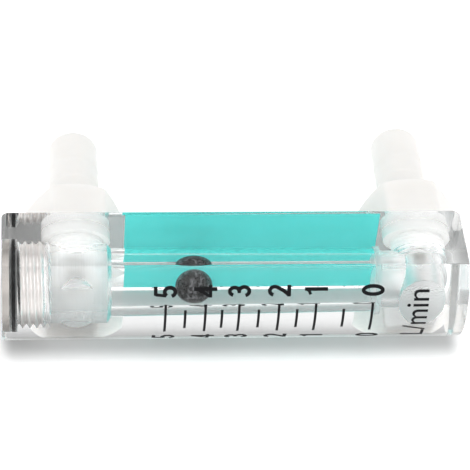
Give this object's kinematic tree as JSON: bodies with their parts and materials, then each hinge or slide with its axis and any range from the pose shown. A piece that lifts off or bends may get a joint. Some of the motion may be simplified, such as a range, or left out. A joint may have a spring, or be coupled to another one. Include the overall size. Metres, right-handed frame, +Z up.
{
  "type": "oxygen flowmeter",
  "caption": "Small clear acrylic flow meter with a float ball in a tapered bore, a printed scale on its curved front and white hose barbs on its back.",
  "frame": {"origin": "centre of the flat side face that the block rests on", "axes": "+X from the top end of the meter to its bottom end, +Y towards the back with the fittings, +Z up out of the resting side face"},
  "size_m": [0.0842, 0.0463, 0.019],
  "materials": {
    "clear_acrylic": "clear, polished",
    "plug_metal": "turned, plated",
    "black_rubber": "matt",
    "ball_steel": "dark, smooth",
    "teal_film": "matt",
    "white_nylon": "satin, slightly translucent",
    "white_silicone": "satin"
  },
  "bodies": {
    "meter_body": {"acrylic_block": "clear_acrylic", "end_plug": "plug_metal", "plug_o_ring": "black_rubber", "backing_film": "teal_film", "outlet_fitting": "white_nylon", "inlet_fitting": "white_nylon", "outlet_seal": "white_silicone", "inlet_seal": "white_silicone"},
    "float": {"float_ball": "ball_steel"}
  },
  "joints": [
    {"name": "float_slide", "type": "slide", "parent": "meter_body", "child": "float", "axis": [1, 0, 0], "range_m": [-0.0131, 0.0315]}
  ]
}
